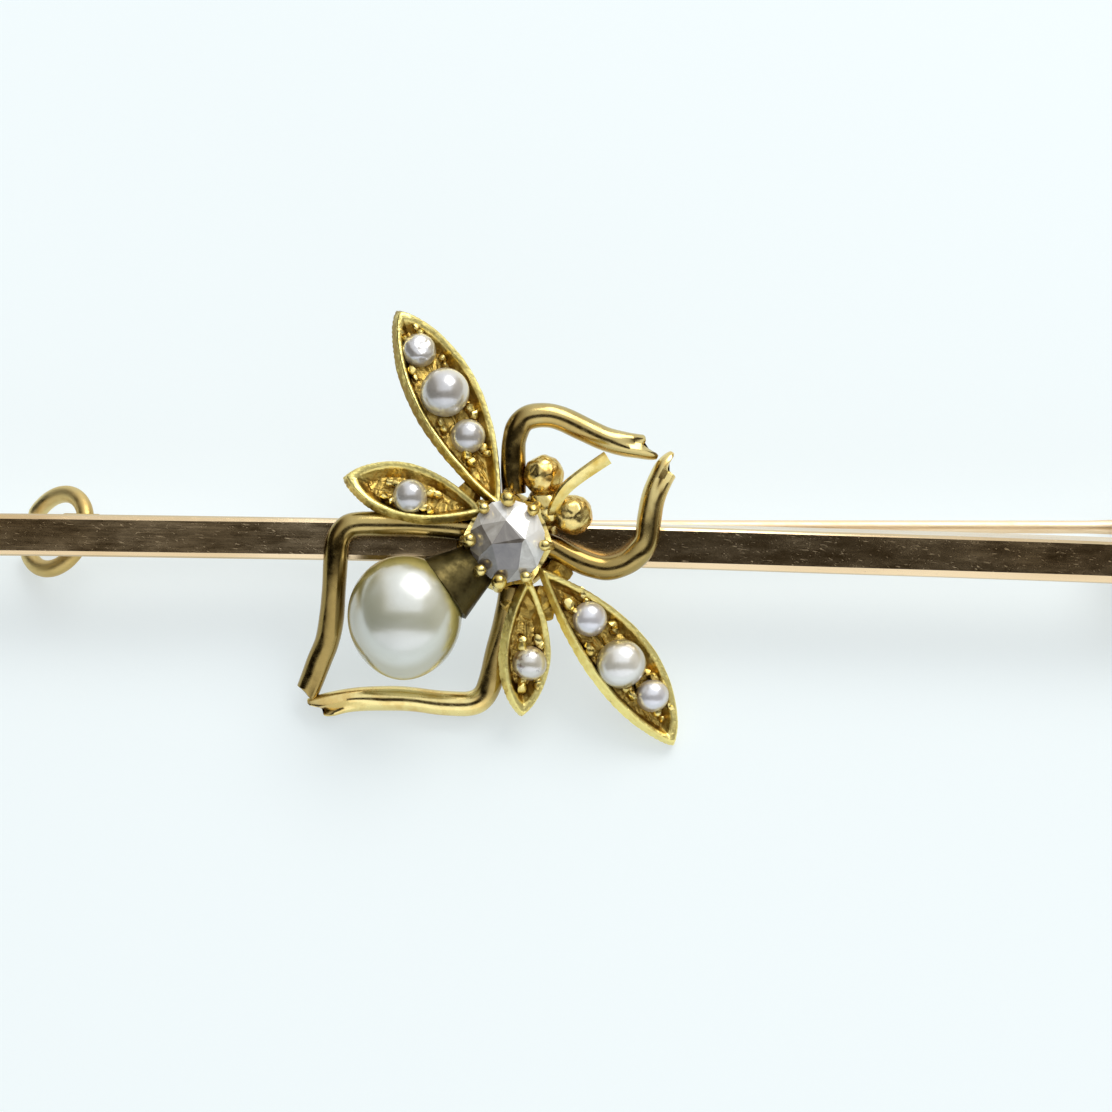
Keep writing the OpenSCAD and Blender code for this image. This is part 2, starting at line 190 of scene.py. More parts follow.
def makeHandFinishedGold(name, light, shade, paintedHollowShade, roughness, lumps, cuts=None, tarnish=None):
    # yellow gold, sawn, filed and polished by hand: bright planes and soft lumps, with painted shade
    # darkening its hollows and corners;
    # lumps and the graver's cuts are each given as how far across and how deep, in millimetres
    material, tree, shader, place = startMaterial(name)
    colour = addNode(tree, "ShaderNodeValToRGB", {"stops": [(0.36, shade), (0.52, light), (0.7, light)]},
                     {"Fac": mottle(tree, place, 0.9, 4)})
    # painted shade: a per-point share on the legs mixes in a darker olive, standing in for shade and dark
    # reflections
    if tarnish:
        dull = addNode(tree, "ShaderNodeAttribute", {"attribute_name": "tarnish"}).outputs["Fac"]
        share = addNode(tree, "ShaderNodeValToRGB", {"easedStops": [(0.3, 0.0), (0.95, 1.0)]}, {"Fac": dull})
        colour = addNode(tree, "ShaderNodeMix", {"data_type": "RGBA", 7: toLinear(tarnish)},
                         {0: share, 6: colour}).outputs[2]
    # painted shade: ambient occlusion mixes the hollow colour into corners and creases
    near = addNode(tree, "ShaderNodeAmbientOcclusion", {"Distance": 0.9 * mm, "samples": 6}).outputs["AO"]
    openToLight = addNode(tree, "ShaderNodeValToRGB", {"stops": [(0.0, 0.0), (0.55, 1.0)]}, {"Fac": near})
    colour = addNode(tree, "ShaderNodeMix", {"data_type": "RGBA", 6: toLinear(paintedHollowShade)}, {0: openToLight, 7: colour})
    normal = addNode(tree, "ShaderNodeBump", {"Distance": lumps[1] * mm},
                     {"Height": mottle(tree, place, lumps[0])})
    if cuts:
        normal = addNode(tree, "ShaderNodeBump", {"Distance": cuts[1] * mm},
                         {"Height": mottle(tree, place, cuts[0], 2, 0.5, (1, 0.35, 1)), "Normal": normal})
    rough = addNode(tree, "ShaderNodeValToRGB", {"stops": [(0.3, roughness * 0.7), (0.7, roughness * 1.5)]},
                    {"Fac": mottle(tree, place, 0.25, 4)})
    finishShader(tree, shader, {"Metallic": 1.0},
                 {"Base Color": colour.outputs[2], "Normal": normal, "Roughness": rough})
    return material


# scuffs: the slant of each set in degrees and how rare it is, the width of one and how far it is drawn out,
# how softly it fades, how deep it looks beside the hairlines, and how much it dulls the gold
scuff = {"sets": ((24, 0.69), (-38, 0.725), (6, 0.7)), "width": 0.05, "drawnOut": 0.07, "fade": 0.14,
         "depth": 0.22, "dull": 0.35}


def makeDrawnGold(name, light, shade, roughness, scratchDepth):
    # gold rod or wire, drawn and polished: long hairlines along it, and a few short scuffs across
    material, tree, shader, place = startMaterial(name)
    colour = addNode(tree, "ShaderNodeValToRGB", {"stops": [(0.35, shade), (0.6, light)]},
                     {"Fac": mottle(tree, place, 6.0, 3, 0.6, (0.35, 1, 1))})
    marks = None
    for angle, rare in scuff["sets"]:
        slanted = addNode(tree, "ShaderNodeMapping", {"Rotation": (0, 0, math.radians(angle))},
                          {"Vector": place})
        lines = mottle(tree, slanted, scuff["width"], 1, 0.5, (scuff["drawnOut"], 1, 1), 0.3)
        found = addNode(tree, "ShaderNodeValToRGB", {"stops": [(rare, 0.0), (rare + scuff["fade"], 1.0)]},
                        {"Fac": lines})
        if marks:
            found = addNode(tree, "ShaderNodeMath", {"operation": "MAXIMUM"}, {0: marks, 1: found})
        marks = found
    normal = addNode(tree, "ShaderNodeBump", {"Distance": scratchDepth * mm},
                     {"Height": mottle(tree, place, 0.09, 3, 0.6, (0.03, 1, 1))})
    normal = addNode(tree, "ShaderNodeBump", {"Strength": scuff["depth"], "Distance": scratchDepth * mm},
                     {"Height": marks, "Normal": normal})
    rough = addNode(tree, "ShaderNodeValToRGB", {"stops": [(0.3, roughness * 0.7), (0.7, roughness * 1.6)]},
                    {"Fac": mottle(tree, place, 0.5, 5, 0.7, (0.25, 1, 1))})
    rough = addNode(tree, "ShaderNodeMath", {"operation": "MULTIPLY_ADD", 1: scuff["dull"]},
                    {0: marks, 2: rough})
    finishShader(tree, shader, {"Metallic": 1.0},
                 {"Base Color": colour, "Normal": normal, "Roughness": rough})
    return material


def makeNacre(name, light, shade, rim, stain=None, stained=0.0):
    # natural pearl: layered nacre with a soft, deep gloss, paler at the front than round its sides, where a
    # yellower rim colour is painted shade and reflection
    material, tree, shader, place = startMaterial(name)
    body = addNode(tree, "ShaderNodeValToRGB", {"easedStops": [(0.35, shade), (0.65, light)]},
                   {"Fac": mottle(tree, place, 1.6, 3, 0.5, (0.5, 0.5, 1.4), 0.4)})
    # painted shade and painted reflection: the rim colour takes over round the sides
    front = addNode(tree, "ShaderNodeAttribute", {"attribute_name": "frontShare"}).outputs["Fac"]
    share = addNode(tree, "ShaderNodeValToRGB", {"easedStops": [(0.5, 0.0), (0.78, 1.0)]}, {"Fac": front})
    colour = addNode(tree, "ShaderNodeMix", {"data_type": "RGBA", 6: toLinear(rim)},
                     {0: share, 7: body}).outputs[2]
    if stain:
        patches = addNode(tree, "ShaderNodeValToRGB", {
            "stops": [(0.66 - stained, 0.0), (0.72 - stained, 1.0)]},
            {"Fac": mottle(tree, place, 0.35, 4, 0.6)})
        colour = addNode(tree, "ShaderNodeMix", {"data_type": "RGBA", 7: toLinear(stain)},
                         {0: patches, 6: colour}).outputs[2]
    skin = addNode(tree, "ShaderNodeBump", {"Distance": 0.006 * mm},
                   {"Height": mottle(tree, place, 0.3)})
    finishShader(tree, shader, {
        "Roughness": 0.28, "IOR": 2.3, "Specular IOR Level": 1.0, "Specular Tint": toLinear("#f4f8ff"),
        "Coat Weight": 0.9, "Coat Roughness": 0.17, "Coat IOR": 2.1}, {"Base Color": colour, "Normal": skin})
    return material


def makeEngravedTrayGold(name):
    # the wings' gold: bright where the rims are rubbed; painted shade makes it darker on the walls and brown
    # on the gouged floors
    material, tree, shader, place = startMaterial(name)
    recess = addNode(tree, "ShaderNodeAttribute", {"attribute_name": "recess"}).outputs["Fac"]
    spread = addNode(tree, "ShaderNodeMath", {"operation": "MULTIPLY_ADD", 1: 0.9, 2: -0.45},
                     {0: mottle(tree, place, 0.35, 4, 0.65)})
    # rubbed rims stay pale; deeper in the tray the colour darkens as painted shade
    worn = addNode(tree, "ShaderNodeMath", {"operation": "ADD", "use_clamp": True}, {0: recess, 1: spread})
    colour = addNode(tree, "ShaderNodeValToRGB", {"stops": [
        (0.0, "#fcec98"), (0.16, "#f4df88"), (0.36, "#a08a46"),
        (0.55, "#9c7c38"), (0.78, "#dabb64"), (1.0, "#8f6f2c")]}, {"Fac": worn})
    # painted shade: ambient occlusion mixes a dark brown into corners
    near = addNode(tree, "ShaderNodeAmbientOcclusion", {"Distance": 0.4 * mm, "samples": 6}).outputs["AO"]
    openToLight = addNode(tree, "ShaderNodeValToRGB", {"stops": [(0.0, 0.0), (0.35, 1.0)]}, {"Fac": near})
    colour = addNode(tree, "ShaderNodeMix", {"data_type": "RGBA", 6: toLinear("#5c4420")},
                     {0: openToLight, 7: colour})
    lumps = addNode(tree, "ShaderNodeBump", {"Distance": 0.05 * mm},
                    {"Height": mottle(tree, place, 0.28)})
    graver = addNode(tree, "ShaderNodeBump", {"Distance": 0.01 * mm},
                     {"Height": mottle(tree, place, 0.1, 2, 0.5, (1, 0.35, 1)), "Normal": lumps})
    rough = addNode(tree, "ShaderNodeValToRGB", {"stops": [(0.0, 0.42), (0.4, 0.34), (1.0, 0.48)]},
                    {"Fac": recess})
    finishShader(tree, shader, {"Metallic": 1.0},
                 {"Base Color": colour.outputs[2], "Normal": graver, "Roughness": rough})
    return material


def makeRoseCutDiamond(name):
    # old rose-cut diamond, closed at the back: cloudy greys inside, painted light on each facet by the way
    # it faces, and a steely shine on flat, hand-cut faces
    material, tree, shader, place = startMaterial(name)
    tone = addNode(tree, "ShaderNodeAttribute", {"attribute_name": "facetTone"}).outputs["Fac"]
    cloud = addNode(tree, "ShaderNodeMath", {"operation": "MULTIPLY_ADD", 1: 0.7, 2: -0.35},
                    {0: mottle(tree, place, 0.6, 4, 0.6, (1, 0.6, 1), 0.8)})
    inside = addNode(tree, "ShaderNodeMath", {"operation": "ADD", "use_clamp": True}, {0: tone, 1: cloud})
    colour = addNode(tree, "ShaderNodeValToRGB", {"stops": [
        (0.0, "#4a4440"), (0.35, "#80796f"), (0.7, "#b6b2aa"), (1.0, "#f2f2ee")]}, {"Fac": inside})
    finishShader(tree, shader, {"Roughness": 0.08, "IOR": 2.2}, {"Base Color": colour})
    return material


legGold = makeHandFinishedGold("warmYellowGold", light="#f2de98", shade="#e4c67c", paintedHollowShade="#5e3a18",
                               roughness=0.2, lumps=(1.2, 0.004), tarnish="#9a834c")
polishedGold = makeHandFinishedGold("polishedYellowGold", light="#efdc90", shade="#dabb62", paintedHollowShade="#94682c",
                                    roughness=0.27, lumps=(0.5, 0.012))
engravedGold = makeHandFinishedGold("engravedYellowGold", light="#eedb92", shade="#d2b868", paintedHollowShade="#94682c",
                                    roughness=0.22, lumps=(0.35, 0.012), cuts=(0.12, 0.006))
hammeredGold = makeHandFinishedGold("hammeredYellowGold", light="#e8d084", shade="#c8963c", paintedHollowShade="#94682c",
                                    roughness=0.24, lumps=(0.5, 0.03), cuts=(0.14, 0.008))
# painted shade: a near-black copy of the yellow gold, for the cup behind the abdomen pearl
shadedGold = makeHandFinishedGold("shadePaintedYellowGold", light="#5a5030", shade="#40381e", paintedHollowShade="#241c0e",
                                  roughness=0.44, lumps=(0.5, 0.03), cuts=(0.15, 0.008))
trayGold = makeEngravedTrayGold("engravedTrayGold")
drawnRoseGold = makeDrawnGold("drawnRoseGold", "#e8d2ac", "#cdb083", roughness=0.16, scratchDepth=0.0016)
# painted highlight: the pin's rose gold is made paler than the bar's, for the light its stem reflects
pinRoseGold = makeDrawnGold("drawnPinGold", "#f8e0bc", "#eed2a8", roughness=0.42, scratchDepth=0.0012)
catchGold = makeDrawnGold("drawnPaleGold", "#e2cf94", "#c4a662", roughness=0.36, scratchDepth=0.001)
# the third colour of each is the rim's painted shade and reflection
creamNacre = makeNacre("creamNacre", "#dcddca", "#c9c9ae", "#9c9046")
greyNacre = makeNacre("greyNacre", "#cbc9c3", "#b3ada4", "#c4b898")
whiteNacre = makeNacre("whiteNacre", "#efecdf", "#dfd8c4", "#a39468")
blueNacre = makeNacre("bluishNacre", "#dad8da", "#c5bfc1", "#bcb09c")
stainedNacre = makeNacre("stainedNacre", "#e6e2d4", "#d2cab6", "#b09c78", stain="#7a5a3c", stained=0.12)
diamond = makeRoseCutDiamond("roseCutDiamond")
print("materials made")


# Bar: a square rod with softened edges, twisted by a few degrees towards its right end
bar = {"length": 57.0, "side": 1.6, "bevel": 0.2, "twist": 8.5, "twistFrom": -12.0, "twistTo": 22.0,
       "bow": 0.00034, "worn": 0.12, "steps": 96}

bm = bmesh.new()
bmesh.ops.create_cube(bm, size=1)
bmesh.ops.scale(bm, vec=(bar["length"], bar["side"], bar["side"]), verts=bm.verts)
longEdges = [e for e in bm.edges if abs(e.verts[0].co.x - e.verts[1].co.x) > 1]
bmesh.ops.bevel(bm, geom=longEdges, offset=bar["bevel"], offset_type="OFFSET", affect="EDGES",
                segments=2, profile=0.5, material=-1)
for k in range(1, bar["steps"]):
    cutAt = bar["length"] * (k / bar["steps"] - 0.5)
    bmesh.ops.bisect_plane(bm, geom=bm.verts[:] + bm.edges[:] + bm.faces[:], plane_co=(cutAt, 0, 0),
                           plane_no=(1, 0, 0))
for v in bm.verts:
    share = min(max((v.co.x - bar["twistFrom"]) / (bar["twistTo"] - bar["twistFrom"]), 0), 1)
    if v.co.z > bar["side"] / 2 - 0.01:
        # the front face has worn a little higher towards the right
        v.co.y += bar["worn"] * share
    v.co = turned("X", bar["twist"] * share * share * (3 - 2 * share)) @ v.co
    v.co.yz += jitter((v.co.x, 0, 0), 0.16, 0.02).yz
    v.co.y -= bar["bow"] * v.co.x ** 2
placePiece(bm, "goldBar", drawnRoseGold, "rose_gold", ["bar"], sharp=12)
print("bar made")


# Wings: each is a leaf-shaped tray with engraved walls, a raised rim and a sunk floor
wing = {"thickness": 1.05, "floorDepth": 0.36, "under": 0.72, "roll": 14.5, "points": 200,
        "hatchPitch": 0.2, "hatchDepth": 0.026, "floorRings": 9, "floorRecess": 0.75}
# dull: how much painted shade darkens a wing's walls, most on the two wings pointing towards the dim side
wings = [
    {"name": "wingUpperLong", "tip": (-4.34, 8.78, 1.05), "way": 118.5, "length": 8.7, "width": 2.72,
     "bow": 0.1, "droop": 8, "side": -1, "dull": 1.0},
    {"name": "wingUpperShort", "tip": (-6.29, 2.43, 1.6), "way": 166.8, "length": 5.7, "width": 2.22,
     "bow": 0.0, "droop": 7, "side": -1, "dull": 0.5},
    {"name": "wingLowerLong", "tip": (6.59, -7.55, 0.6), "way": -51.3, "length": 8.7, "width": 2.6,
     "bow": -0.3, "droop": 11, "side": 1, "dull": 0.12},
    {"name": "wingLowerShort", "tip": (0.75, -6.66, 1.15), "way": -91.0, "length": 5.6, "width": 1.96,
     "bow": 0.0, "droop": 11, "side": 1, "dull": 0.35},
]
seeds = [
    {"wing": 0, "along": 1.80, "across": 0.02, "r": 0.65, "nacre": greyNacre, "chipped": True},
    {"wing": 0, "along": 3.72, "across": 0.09, "r": 0.93, "nacre": greyNacre},
    {"wing": 0, "along": 5.57, "across": 0.17, "r": 0.66, "nacre": greyNacre},
    {"wing": 1, "along": 2.70, "across": -0.13, "r": 0.66, "nacre": greyNacre},
    {"wing": 2, "along": 5.90, "across": -0.34, "r": 0.66, "nacre": blueNacre},
    {"wing": 2, "along": 3.85, "across": -0.18, "r": 0.93, "nacre": whiteNacre},
    {"wing": 2, "along": 2.05, "across": -0.46, "r": 0.63, "nacre": blueNacre},
    {"wing": 3, "along": 2.12, "across": -0.20, "r": 0.66, "nacre": stainedNacre},
]


def wingFrame(w):
    # origin at the tip, X back towards the thorax, Z out of the tray
    return (moved(*w["tip"]) @ turned("Z", w["way"] + 180) @ turned("Y", -w["droop"])
            @ turned("X", w["side"] * wing["roll"]))


def leafHalf(t):
    return math.sin(math.pi * max(0.0, min(1.0, t)) ** 0.82) ** 0.85


def leafRing(bm, w, wallInset, farInset, height, scale=1.0):
    # a circle's points moved onto the leaf's outline, drawn in by the insets or shrunk about its middle
    ring = bmesh.ops.create_circle(bm, segments=wing["points"], radius=1)["verts"]
    start = wallInset + farInset + w["length"] * (1 - scale) / 2
    run = w["length"] - 2 * start
    for v in ring:
        t = (1 - v.co.x) / 2
        side = 1 if v.co.y >= 0 else -1
        inset = wallInset if side == w["side"] else farInset
        half = (side * (w["width"] / 2 * scale - inset) + w["bow"]) * leafHalf(t)
        v.co = (start + run * t, half, height)
    return ring


def hatch(ring, depth, phase):
    # short graver cuts round the wall, a little uneven
    total = 0.0
    before = ring[0].co.copy()
    middle = sum((v.co for v in ring), Vector()) / len(ring)
    for v in ring:
        total += (v.co - before).length
        before = v.co.copy()
        beat = math.sin(2 * math.pi * (total / wing["hatchPitch"] + phase) + 2.5 * noise.noise(v.co * 1.3))
        inward = middle - v.co
        inward.x *= 0.2
        v.co += inward.normalized() * depth * max(0.0, beat) ** 2


for index, w in enumerate(wings):
    bm = bmesh.new()
    recessLayer = bm.verts.layers.float.new("recess")
    depth = wing["thickness"]
    plan = [  # inset on the wall side, inset on the other, height, scale, the graver's depth, how recessed
        (0.0, 0.0, -depth, wing["under"], 0.0, 0.5),
        (0.0, 0.0, -depth + 0.08, wing["under"] + 0.05, 0.6, 0.45),
        (0.0, 0.0, -0.62, 0.9, 1.0, 0.45),
        (0.0, 0.0, -0.42, 1.0, 1.0, 0.42),
        (0.07, 0.0, -0.25, 1.0, 1.0, 0.4),
        (0.14, 0.0, -0.1, 1.0, 0.8, 0.34),
        (0.17, 0.02, -0.03, 1.0, 0.3, 0.12),
        (0.21, 0.05, 0.0, 1.0, 0.08, 0.0),
        (0.26, 0.16, -0.01, 1.0, 0.0, 0.0),
        (0.3, 0.24, -0.06, 1.0, 0.0, 0.05),
        (0.33, 0.28, -0.12, 1.0, 0.0, 0.35),
        (0.37, 0.4, -0.24, 1.0, 0.0, 0.5),
        (0.42, 0.54, -wing["floorDepth"] + 0.02, 1.0, 0.0, 0.6),
    ]
    inner = w["width"] / 2 - 0.12
    for k in range(wing["floorRings"] + 1):
        # the floor's own rings, drawn in evenly to its middle line
        wallInset, farInset = (near + (inner - near) * k / wing["floorRings"] for near in (0.46, 0.58))
        plan.append((wallInset, farInset, -wing["floorDepth"], 1.0, 0.0, wing["floorRecess"]))
    rings = []
    for wallInset, farInset, height, scale, cut, recessed in plan:
        ring = leafRing(bm, w, wallInset, farInset, height, scale)
        if cut:
            hatch(ring, wing["hatchDepth"] * cut, 0.35 * height)
        for v in ring:
            # painted shade: the recess, scaled on the walls by the wing's dull, darkens the tray gold
            v[recessLayer] = recessed * (w["dull"] if cut else 1)
            if recessed == wing["floorRecess"]:
                # the floor is gouged and raised by the graver
                v.co.z += noise.noise(v.co * 2.6) * 0.1 + abs(noise.noise(v.co * 5.5)) * 0.12
        rings.append(ring)
    bridgeRings(bm, rings)
    for v in bm.verts:
        v.co += jitter(v.co + Vector((index * 7, 0, 0)), 1.2, 0.02)
    bmesh.ops.transform(bm, matrix=wingFrame(w), verts=bm.verts)
    placePiece(bm, w["name"], trayGold, *insectGold, sharp=35)
print("wings made")


# Seed pearls, and the grains of gold raised from the tray's floor to hold them
# bed: how high a pearl's underside is above its tray's; rise: a grain's middle above the tray's floor;
# beside: how far grains stand off the middle line, as a share of the radii of the two pearls they part;
# past, endBeside: how far the first and last ones are past the row, and off the middle line
grain = {"r": 0.185, "spread": 0.27, "bed": 0.2, "rise": 0.17, "past": (0.1, 0.12), "beside": 0.3875,
         "endBeside": (0.3, 0.34)}
chip = {"way": (0.25, 0.35, 0.9), "from": 0.72, "deep": 0.45, "rough": 0.035}


def seedCentre(s):
    height = s["r"] - wing["thickness"] + grain["bed"]
    return wingFrame(wings[s["wing"]]) @ Vector((s["along"], s["across"], height))


def shareOut(bm):
    # how far each point of a pearl stands out to the front or back, kept on the mesh for its painted rim
    # shade
    top = max(v.co.z for v in bm.verts)
    layer = bm.verts.layers.float.new("frontShare")
    for v in bm.verts:
        v[layer] = min(1.0, abs(v.co.z) / top)


for number, s in enumerate(seeds, 1):
    bm = bmesh.new()
    bmesh.ops.create_uvsphere(bm, u_segments=48, v_segments=24, radius=s["r"])
    for v in bm.verts:
        v.co += jitter(v.co + Vector((number * 3, 0, 0)), 1.1, 0.022)
        if s.get("chipped"):
            # a flake of nacre is gone from the side by the tip
            over = v.co.normalized().dot(Vector(chip["way"]).normalized())
            v.co -= v.co.normalized() * max(0.0, over - chip["from"]) * chip["deep"]
            v.co += jitter(v.co, 4.5, chip["rough"])
    shareOut(bm)
    bmesh.ops.transform(bm, matrix=moved(*seedCentre(s)), verts=bm.verts)
    placePiece(bm, "seedPearl%d" % number, s["nacre"], "pearl", ["seed_pearl_%d" % number], sharp=60)

bm = bmesh.new()
for index, w in enumerate(wings):
    row = sorted((s for s in seeds if s["wing"] == index), key=lambda s: s["along"])
    gaps = [(row[0]["along"] - row[0]["r"] - grain["past"][0], row[0]["across"], grain["endBeside"][0])]
    for a, b in zip(row, row[1:]):
        share = a["r"] / (a["r"] + b["r"])
        gaps.append((a["along"] + (b["along"] - a["along"]) * share, (a["across"] + b["across"]) / 2,
                     grain["beside"] * (a["r"] + b["r"])))
    gaps.append((row[-1]["along"] + row[-1]["r"] + grain["past"][1], row[-1]["across"],
                 grain["endBeside"][1]))
    for along, across, reach in gaps:
        for side in (-1, 1):
            for pair in (-0.5, 0.5):
                size = grain["r"] * dice.uniform(0.85, 1.2)
                at = Vector((along + pair * grain["spread"] + dice.uniform(-0.04, 0.04),
                             across + side * reach * dice.uniform(0.85, 1.1),
                             grain["rise"] - wing["floorDepth"]))
                bead = bmesh.ops.create_icosphere(bm, subdivisions=2, radius=size)["verts"]
                for v in bead:
                    v.co += jitter(v.co + at * 3, 4.5, 0.075)
                bmesh.ops.scale(bm, vec=(dice.uniform(0.85, 1.35), dice.uniform(0.75, 1.1), 1.2), verts=bead)
                bmesh.ops.transform(bm, matrix=wingFrame(w) @ moved(*at), verts=bead)
placePiece(bm, "settingGrains", polishedGold, *insectGold, sharp=30)
print("seed pearls and grains made")


# Thorax, collet and claws
collet = {"centre": (0, 0.06), "girdle": 2.3, "semi": (1.43, 1.58), "gap": 0.03, "foot": 1.2, "seat": 0.8,
          "wall": 0.2, "over": 0.05, "scallop": 0.42, "claws": [355, 49, 90, 130, 180, 226, 259, 301],
          "clawR": 0.17, "ballR": 0.24, "bigClaws": (90, 259), "big": 1.25,
          # a claw's points, each as a share of the stone's edge, further out, and height above the girdle
          "claw": [(0.82, 0.0, -1.25), (0.91, 0.15, -0.7), (1.0, 0.2, -0.15), (1.0, 0.1, 0.22),
                   (0.97, 0.0, 0.42)]}

# the plate's radius and height, from its flat back to its lumpy front
plate = {"profile": ((1.78, 0.8), (1.9, 0.86), (1.88, 1.05), (1.68, 1.28), (1.45, 1.42), (0.9, 1.48)),
         "back": 0.81, "lumpScale": 1.6, "lumpHigh": 0.09}
bm = bmesh.new()
rings = []
for radius, height in plate["profile"]:
    ring = bmesh.ops.create_circle(bm, segments=48, radius=radius)["verts"]
    bmesh.ops.translate(bm, vec=(0, 0, height), verts=ring)
    rings.append(ring)
bridgeRings(bm, rings)
for v in bm.verts:
    if v.co.z > plate["back"]:
        v.co += jitter(v.co, plate["lumpScale"], plate["lumpHigh"])
placePiece(bm, "thoraxPlate", engravedGold, *insectGold, sharp=45)

# lumps of solder at the roots of wings and legs: where each is, and its radius
solder = {"recess": 0.66, "flat": 0.6, "uneven": 0.4,
          "lumps": [(0.75, -2.3, 1.45, 0.6), (1.3, -2.05, 1.4, 0.5), (0.15, -2.25, 1.42, 0.45),
                    (1.5, -2.6, 1.3, 0.34), (0.6, -2.85, 1.2, 0.3), (-1.55, 1.7, 1.45, 0.55),
                    (-1.95, 1.05, 1.4, 0.45), (-1.15, 2.2, 1.3, 0.35), (1.95, -1.0, 1.35, 0.5),
                    (1.4, 1.0, 1.5, 0.5), (-1.4, -1.5, 1.4, 0.42)]}
bm = bmesh.new()
for x, y, z, size in solder["lumps"]:
    lump = bmesh.ops.create_icosphere(bm, subdivisions=2, radius=size)["verts"]
    for v in lump:
        v.co += jitter(v.co + Vector((x, y, z)) * 2, 2.2, size * solder["uneven"])
        v.co.z *= solder["flat"]
    bmesh.ops.translate(bm, vec=(x, y, z), verts=lump)
# painted shade between the parts: the lumps take the tray gold's darker recessed colour
recessLayer = bm.verts.layers.float.new("recess")
for v in bm.verts:
    v[recessLayer] = solder["recess"]
placePiece(bm, "solderedRoots", trayGold, *insectGold, sharp=18)

semi = [s + collet["gap"] for s in collet["semi"]]


def clawShare(angle):
    # 0 at a claw, 1 midway between two
    around = sorted(collet["claws"])
    around = [around[-1] - 360] + around + [around[0] + 360]
    for a, b in zip(around, around[1:]):
        if a <= angle <= b:
            return math.sin(math.pi * (angle - a) / (b - a))
    return 0.0


bm = bmesh.new()
rings = []
for out, share in ((0, 0.0), (0, 0.35), (0, 0.7), (0, 1.0), (-1, 1.0), (-1, 0.7), (-1, 0.35), (-1, 0.0)):
    ring = bmesh.ops.create_circle(bm, segments=96, radius=1)["verts"]
    for v in ring:
        angle = math.degrees(math.atan2(v.co.y, v.co.x)) % 360
        top = collet["girdle"] + collet["over"] - collet["scallop"] * clawShare(angle) ** 1.5
        height = collet["seat"] + (top - collet["seat"]) * share
        grow = (height - collet["seat"]) / (collet["girdle"] - collet["seat"])
        reach = [collet["foot"] + (s + collet["wall"] - collet["foot"]) * grow + out * collet["wall"]
                 for s in semi]
        v.co = (v.co.x * reach[0], v.co.y * reach[1], height)
    rings.append(ring)
bridgeRings(bm, rings, False, False)
for a in collet["claws"]:
    turn = math.radians(a)
    way = Vector((math.cos(turn), math.sin(turn), 0))
    edge = Vector((way.x * semi[0], way.y * semi[1], 0))
    big = collet["big"] if a in collet["bigClaws"] else dice.uniform(0.9, 1.08)
    route = [edge * share + way * out + Vector((0, 0, collet["girdle"] + high))
             for share, out, high in collet["claw"]]
    sweepWire(bm, smoothRoute(route, 4),
              lambda t, big=big: [collet["clawR"] * big * (0.75 + 0.35 * t)] * 2, 12)
    ball = bmesh.ops.create_uvsphere(bm, u_segments=16, v_segments=10, radius=collet["ballR"] * big)["verts"]
    for v in ball:
        v.co += jitter(v.co + route[-1] * 2, 4.0, 0.03)
    bmesh.ops.translate(bm, vec=route[-1], verts=ball)
bmesh.ops.transform(bm, matrix=moved(*collet["centre"], 0), verts=bm.verts)
placePiece(bm, "clawCollet", polishedGold, *insectGold, sharp=40)


# Centre stone: an old rose cut, its point off centre and its faces uneven as hand cutting leaves them
# lightSide, paleSide and steepShare paint light on each facet by the way it faces; uneven adds a random tone
stone = {"girdle": 0.12, "lightSide": (0.85, 0.4, 0.0), "paleSide": (-0.5, 0.6, -0.05), "tone": 0.42,
         "lightShare": 0.7, "steepShare": 0.35, "uneven": 0.14,
         "corners": [(-0.99, 0.58, 0.5), (-0.06, 0.76, 0.82), (-0.57, -0.14, 0.84), (-0.32, -1.1, 0.46),
                     (0.44, -1.04, 0.56), (1.02, -0.62, 0.42), (1.14, 0.42, 0.42), (0.2, 1.2, 0.42),
                     (0.86, 0.95, 0.38), (-1.05, -0.62, 0.36)],
         "table": [(0.56, -0.06, 1.02), (0.66, 0.08, 1.02), (0.5, 0.1, 1.02)]}
bm = bmesh.new()
for height, scale in ((0.0, 0.985), (stone["girdle"], 1.0)):
    ring = bmesh.ops.create_circle(bm, segments=14, radius=1)["verts"]
    for v in ring:
        v.co = (v.co.x * scale * collet["semi"][0], v.co.y * scale * collet["semi"][1], height)
for corner in stone["corners"] + stone["table"]:
    bm.verts.new(corner)
bmesh.ops.convex_hull(bm, input=bm.verts)
bmesh.ops.dissolve_limit(bm, angle_limit=math.radians(4), verts=bm.verts, edges=bm.edges)
bmesh.ops.transform(bm, matrix=moved(*collet["centre"], collet["girdle"]), verts=bm.verts)
bm.faces.index_update()
toneLayer = bm.faces.layers.float.new("facetTone")
# painted light and painted reflection: lighter towards the light side, the pale side and on steep faces
for f in bm.faces:
    lit = stone["lightShare"] * f.normal.dot(Vector(stone["lightSide"]))
    pale = max(0.0, f.normal.dot(Vector(stone["paleSide"])))
    steep = stone["steepShare"] * (1 - f.normal.z)
    f[toneLayer] = stone["tone"] + lit + pale + steep + dice.uniform(-stone["uneven"], stone["uneven"])
placePiece(bm, "roseCutStone", diamond, "rose_cut_diamond", ["centre_stone"], sharp=1)
print("thorax, collet and stone made")


# Head, eyes and feeler
head = {"centre": (1.45, 1.4, 1.45), "r": 0.8, "eyes": [(1.31, 2.56, 1.8), (2.41, 1.1, 1.8)], "eyeR": 0.76,
        "feeler": [(1.6, 1.05, 1.9), (1.7, 1.3, 2.25), (1.86, 1.66, 2.5), (2.12, 2.04, 2.62),
                   (2.49, 2.39, 2.68), (3.06, 2.82, 2.72), (3.69, 3.26, 2.7)], "feelerHalf": (0.26, 0.13),
        "feelerRoll": 32.0}

